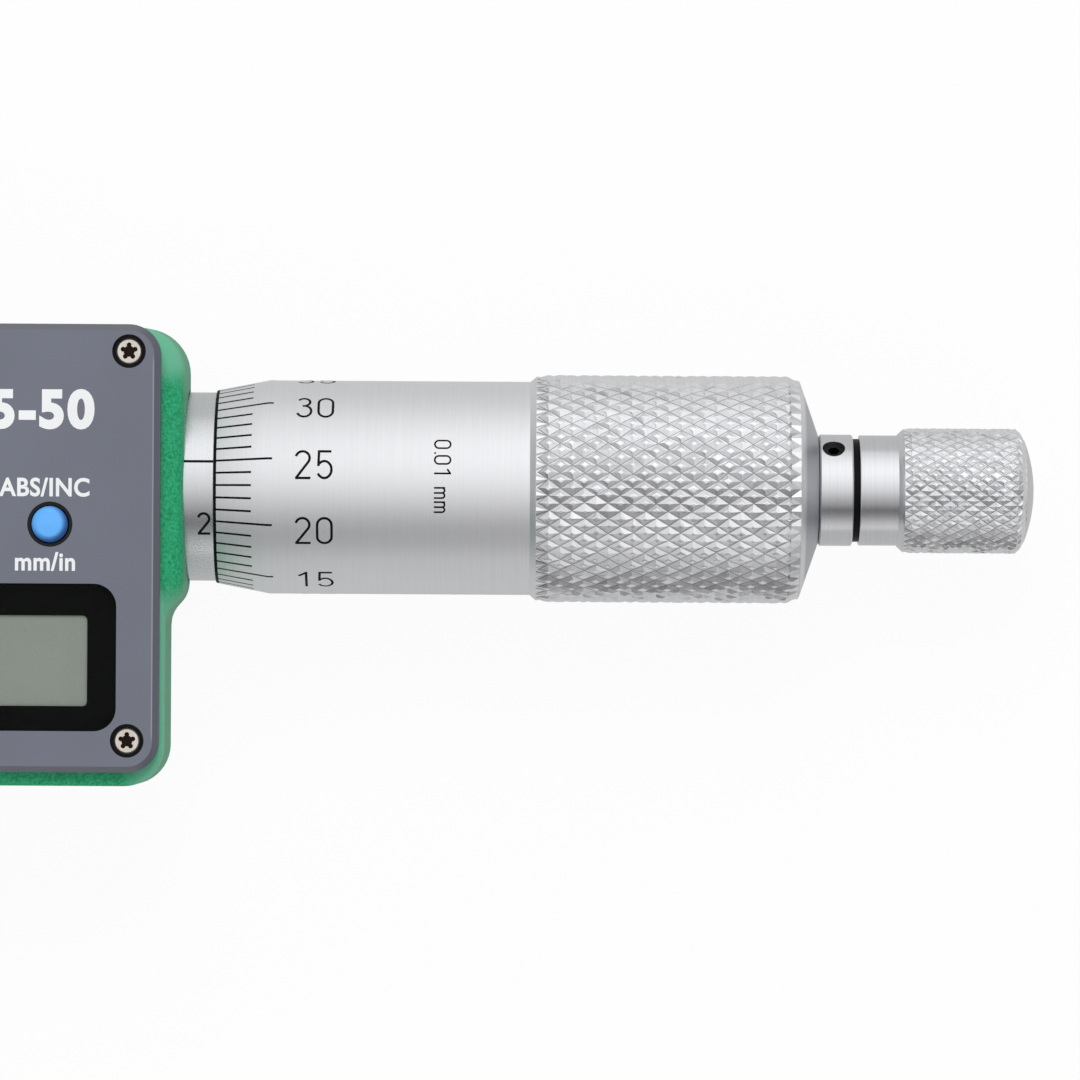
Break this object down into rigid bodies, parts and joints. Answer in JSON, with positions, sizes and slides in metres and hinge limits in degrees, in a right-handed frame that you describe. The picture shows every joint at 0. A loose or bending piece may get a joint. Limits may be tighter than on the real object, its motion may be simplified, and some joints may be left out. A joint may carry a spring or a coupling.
{
  "type": "digital outside micrometer",
  "caption": "Digital outside micrometer with a green U frame, grey display panel, blue keys, graduated thimble with a knurled grip and a ratchet stop.",
  "frame": {"origin": "centre of the anvil's measuring face, on the spindle axis", "axes": "+X along the spindle from the anvil toward the ratchet, +Y up the display panel, +Z out of the panel toward the reader"},
  "size_m": [0.1968, 0.0578, 0.0225],
  "materials": {
    "green_paint": "satin",
    "grey_cover": "matte",
    "satin_steel": "satin",
    "ground_steel": "polished",
    "carbide": "polished",
    "dark_steel": "satin",
    "warm_steel": "polished",
    "black_rubber": "matte",
    "clear_pane": "gloss",
    "black_film": "gloss",
    "display": "satin",
    "board_green": "satin",
    "amber_film": "satin",
    "blue_button": "gloss",
    "black_plastic": "satin",
    "brass": "satin"
  },
  "bodies": {
    "frame": {"frame": "green_paint", "anvil": "ground_steel", "anvil_tip": "carbide", "front_cover": "grey_cover", "cover_gasket": "black_rubber", "cover_screws": "warm_steel", "display_window": "clear_pane", "display_mask": "black_film", "lcd_module": "display", "circuit_board": "board_green", "key_domes": "ground_steel", "keypad_seal": "black_rubber", "battery": "ground_steel", "battery_contact": "brass", "encoder_stator": "board_green", "encoder_ribbon": "amber_film", "thrust_washer": "brass", "inner_barrel": "ground_steel", "outer_sleeve": "satin_steel", "adjusting_nut": "dark_steel", "spindle_seal": "black_rubber"},
    "rotor": {"rotor_bush": "brass", "rotor_disc": "board_green", "rotor_key": "ground_steel"},
    "spindle": {"spindle": "ground_steel", "spindle_thread": "ground_steel", "spindle_tip": "carbide", "thimble": "satin_steel", "collar": "satin_steel", "set_screw": "dark_steel", "ratchet_bush": "black_plastic", "retaining_ring": "dark_steel", "ratchet_spring": "ground_steel", "clutch_disc": "ground_steel"},
    "ratchet": {"ratchet_knob": "satin_steel"},
    "lock": {"lock_lever": "satin_steel", "lock_screw": "dark_steel"},
    "power": {"button_power": "blue_button"},
    "zero": {"button_zero": "blue_button"},
    "units": {"button_units": "blue_button"},
    "battery_door": {"battery_cap": "black_plastic", "battery_seal": "black_rubber"}
  },
  "joints": [
    {"name": "thimble_turn", "type": "hinge", "parent": "frame", "child": "rotor", "pos_m": [0.0951, 0, 0], "axis": [1, 0, 0], "range_deg": [0, 18192]},
    {"name": "spindle_travel", "type": "slide", "parent": "rotor", "child": "spindle", "axis": [1, 0, 0], "range_m": [0, 0.02525]},
    {"name": "ratchet_turn", "type": "hinge", "parent": "spindle", "child": "ratchet", "pos_m": [0.1692, 0, 0], "axis": [1, 0, 0], "continuous": true},
    {"name": "lock_turn", "type": "hinge", "parent": "frame", "child": "lock", "pos_m": [0.0586, 0, 0.0066], "axis": [0, 0, 1], "range_deg": [-50, 0]},
    {"name": "press_power", "type": "slide", "parent": "frame", "child": "power", "axis": [0, 0, -1], "range_m": [0, 0.0005], "stiffness_N_per_m": 1500},
    {"name": "press_zero", "type": "slide", "parent": "frame", "child": "zero", "axis": [0, 0, -1], "range_m": [0, 0.0005], "stiffness_N_per_m": 1500},
    {"name": "press_units", "type": "slide", "parent": "frame", "child": "units", "axis": [0, 0, -1], "range_m": [0, 0.0005], "stiffness_N_per_m": 1500},
    {"name": "cap_turn", "type": "hinge", "parent": "frame", "child": "battery_door", "pos_m": [0.08511, -0.0152, -0.0103], "axis": [0, 0, -1], "range_deg": [0, 60]}
  ],
  "couplings": [
    {"joint": "thimble_turn", "follows": "spindle_travel", "rad_per_m": 12566}
  ]
}
